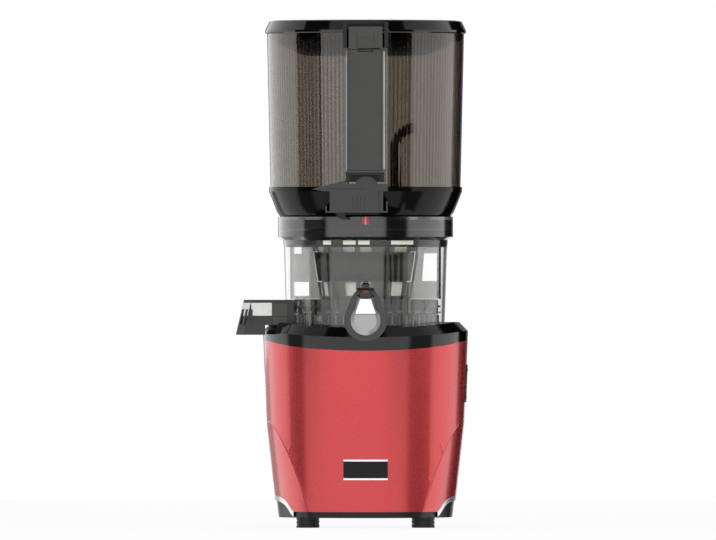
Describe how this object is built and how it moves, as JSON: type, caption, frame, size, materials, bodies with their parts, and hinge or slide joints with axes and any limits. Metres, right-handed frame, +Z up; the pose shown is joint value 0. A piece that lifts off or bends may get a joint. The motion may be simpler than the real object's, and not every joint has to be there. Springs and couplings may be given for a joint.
{
  "type": "cold press juicer",
  "caption": "Upright slow juicer: a motor base with a deck, a clear juicing drum with spout, nozzle and lever cap, and a wide hopper with a hinged lid.",
  "frame": {"origin": "on the bench under the drive axis that the bowl, auger and hopper share", "axes": "+Z up, +X to the right seen from the front (switch side), -Y to the front (juice nozzle)"},
  "size_m": [0.2343, 0.2332, 0.5103],
  "materials": {
    "red_satin": "satin paint",
    "gloss_black": "polished",
    "black_plastic": "fine matt",
    "dark_grey": "satin",
    "silver": "satin silver",
    "rubber": "matt",
    "silicone": "matt",
    "clear": "clear, polished",
    "smoky": "smoky clear, polished",
    "steel": "turned",
    "laminations": "stacked sheet",
    "brass_bush": "turned",
    "gear_plastic": "moulded",
    "mesh": "moulded fine mesh",
    "board_green": "lacquered board",
    "red_mark": "printed"
  },
  "bodies": {
    "base": {"motor_housing": "red_satin", "top_cover": "gloss_black", "base_plate": "black_plastic", "rubber_feet": "rubber", "corner_trim_left": "silver", "corner_trim_right": "silver", "badge_plate": "black_plastic", "badge_lines": "silver", "switch_bezel": "black_plastic", "cord_gland": "black_plastic", "base_screws": "steel", "motor_can": "steel", "stator_core": "laminations", "motor_bearings": "steel", "motor_mounts": "rubber", "gearbox_case": "black_plastic", "gearbox_cover": "black_plastic", "shaft_seal": "silicone", "control_board": "board_green"},
    "rotor": {"rotor_core": "laminations", "motor_shaft": "steel", "cooling_fan": "black_plastic"},
    "layshaft_set": {"layshaft": "steel", "layshaft_gear": "gear_plastic"},
    "output_set": {"output_gear": "steel", "drive_shaft": "steel"},
    "rocker": {"switch_rocker": "gloss_black"},
    "drum": {"bowl": "clear", "bowl_seal": "silicone", "pulp_spout": "dark_grey", "spout_window": "clear", "juice_nozzle": "dark_grey", "cap_pin": "black_plastic", "strainer_frame": "black_plastic", "strainer_mesh": "mesh"},
    "flap": {"pulp_flap": "silicone"},
    "cap": {"juice_cap": "silver", "cap_seal": "silicone"},
    "basket": {"wiper_basket": "smoky", "wiper_blades": "silicone"},
    "idler": {"idler_gear": "black_plastic"},
    "auger_set": {"auger": "black_plastic", "auger_pin": "steel", "cutting_screw": "black_plastic"},
    "hopper": {"collar_ring": "smoky", "hopper_base": "gloss_black", "hopper_body": "smoky", "front_column": "dark_grey", "column_bracket": "dark_grey", "latch_box": "black_plastic", "alignment_mark": "red_mark", "hinge_block": "black_plastic", "hinge_pin": "steel"},
    "lever": {"locking_lever": "black_plastic"},
    "lid_set": {"lid": "gloss_black", "lid_liner": "smoky", "lid_seal": "silicone", "latch_frame": "gloss_black"},
    "latch": {"lid_latch": "gloss_black"},
    "rod": {"safety_rod": "black_plastic"}
  },
  "joints": [
    {"name": "rotor_spin", "type": "hinge", "parent": "base", "child": "rotor", "pos_m": [0, 0.02, 0.07], "axis": [0, 0, 1], "continuous": true},
    {"name": "layshaft_spin", "type": "hinge", "parent": "base", "child": "layshaft_set", "pos_m": [0.03748, 0.01894, 0.13], "axis": [0, 0, 1], "continuous": true},
    {"name": "drive_spin", "type": "hinge", "parent": "base", "child": "output_set", "pos_m": [0, 0, 0.16], "axis": [0, 0, 1], "continuous": true},
    {"name": "rocker_tilt", "type": "hinge", "parent": "base", "child": "rocker", "pos_m": [0.09587, 0, 0.1448], "axis": [0, 1, 0], "range_deg": [-7, 7]},
    {"name": "drum_lift", "type": "slide", "parent": "base", "child": "drum", "axis": [0, 0, 1], "range_m": [0, 0.06]},
    {"name": "flap_swing", "type": "hinge", "parent": "drum", "child": "flap", "pos_m": [-0.11353, -0.02831, 0.2247], "axis": [-0.2419, 0.9703, 0], "range_deg": [0, 18]},
    {"name": "cap_swing", "type": "hinge", "parent": "drum", "child": "cap", "pos_m": [0, -0.1173, 0.237], "axis": [-1, 0, 0], "range_deg": [0, 85]},
    {"name": "basket_spin", "type": "hinge", "parent": "drum", "child": "basket", "pos_m": [0, 0, 0.25], "axis": [0, 0, 1], "continuous": true},
    {"name": "idler_spin", "type": "hinge", "parent": "drum", "child": "idler", "pos_m": [0.02413, -0.02025, 0.221], "axis": [0, 0, 1], "continuous": true},
    {"name": "auger_spin", "type": "hinge", "parent": "drum", "child": "auger_set", "pos_m": [0, 0, 0.26], "axis": [0, 0, 1], "continuous": true},
    {"name": "hopper_twist", "type": "hinge", "parent": "drum", "child": "hopper", "pos_m": [0, 0, 0.3], "axis": [0, 0, 1], "range_deg": [0, 24]},
    {"name": "lever_swing", "type": "hinge", "parent": "hopper", "child": "lever", "pos_m": [0.009, -0.0988, 0.3316], "axis": [0, 1, 0], "range_deg": [0, 8], "stiffness_Nm_per_rad": 0.05},
    {"name": "lid_swing", "type": "hinge", "parent": "hopper", "child": "lid_set", "pos_m": [0, 0.107, 0.503], "axis": [-1, 0, 0], "range_deg": [0, 100]},
    {"name": "latch_swing", "type": "hinge", "parent": "lid_set", "child": "latch", "pos_m": [0, -0.109, 0.5018], "axis": [-1, 0, 0], "range_deg": [0, 18], "stiffness_Nm_per_rad": 0.2},
    {"name": "rod_slide", "type": "slide", "parent": "hopper", "child": "rod", "axis": [0, 0, 1], "range_m": [-0.004, 0]}
  ],
  "couplings": [
    {"joint": "layshaft_spin", "follows": "rotor_spin", "ratio": -0.25},
    {"joint": "drive_spin", "follows": "rotor_spin", "ratio": 0.083333},
    {"joint": "auger_spin", "follows": "rotor_spin", "ratio": 0.083333},
    {"joint": "idler_spin", "follows": "rotor_spin", "ratio": -0.16667},
    {"joint": "basket_spin", "follows": "rotor_spin", "ratio": -0.041667}
  ]
}
